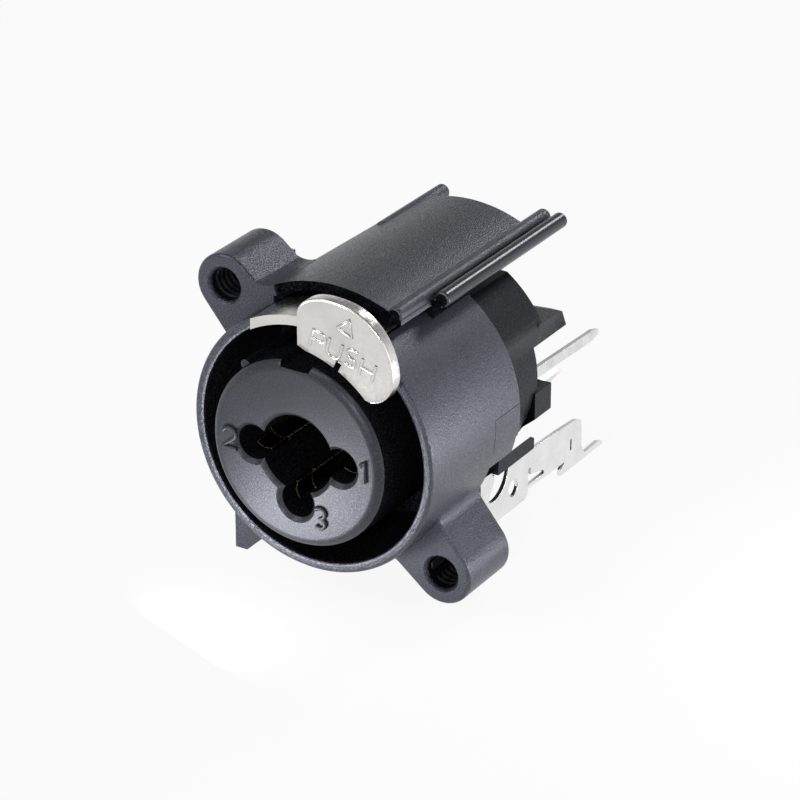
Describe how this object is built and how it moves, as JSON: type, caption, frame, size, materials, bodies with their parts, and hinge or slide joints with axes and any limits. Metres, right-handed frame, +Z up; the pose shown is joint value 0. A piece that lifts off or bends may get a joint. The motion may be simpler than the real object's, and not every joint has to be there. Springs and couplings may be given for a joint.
{
  "type": "xlr panel socket",
  "caption": "Round panel socket that takes a three pole round plug or a 6.35 mm jack plug, with two screw ears, a push latch and rear solder tabs.",
  "frame": {"origin": "on the socket's axis, in the plane of the two ears' front faces, which rest against the panel's rear", "axes": "-Y out of the socket's face, +Y to the solder tabs, +Z up to the latch, +X to the right seen from the front"},
  "size_m": [0.025, 0.0345, 0.0274],
  "materials": {
    "black_plastic": "glass filled moulding with a fine grain",
    "insert_plastic": "fine eroded grain",
    "nickel": "satin nickel plate",
    "tinned": "rolled strip, tin plated",
    "gold": "gold plated",
    "spring_steel": "drawn wire and strip"
  },
  "bodies": {
    "root": {"front_housing": "black_plastic", "contact_insert": "insert_plastic", "rear_carrier": "black_plastic", "pin_contact_1": "gold", "pin_contact_2": "gold", "pin_contact_3": "gold", "tip_contact": "gold", "ring_contact": "gold", "sleeve_contact": "gold", "ground_plate": "tinned", "ground_strip": "tinned", "shell_contact": "tinned", "hook_pin": "spring_steel", "hook_spring": "spring_steel"},
    "latch": {"push_latch": "nickel"},
    "hook": {"latch_hook": "nickel"}
  },
  "joints": [
    {"name": "latch_slide", "type": "slide", "parent": "root", "child": "latch", "axis": [0, 1, 0], "range_m": [0, 0.0016], "stiffness_N_per_m": 600, "springref_m": -0.0005},
    {"name": "hook_pivot", "type": "hinge", "parent": "root", "child": "hook", "pos_m": [0, 0.015, 0.00965], "axis": [-1, 0, 0], "range_deg": [0, 4.2]}
  ],
  "couplings": [
    {"joint": "hook_pivot", "follows": "latch_slide", "rad_per_m": 37}
  ]
}
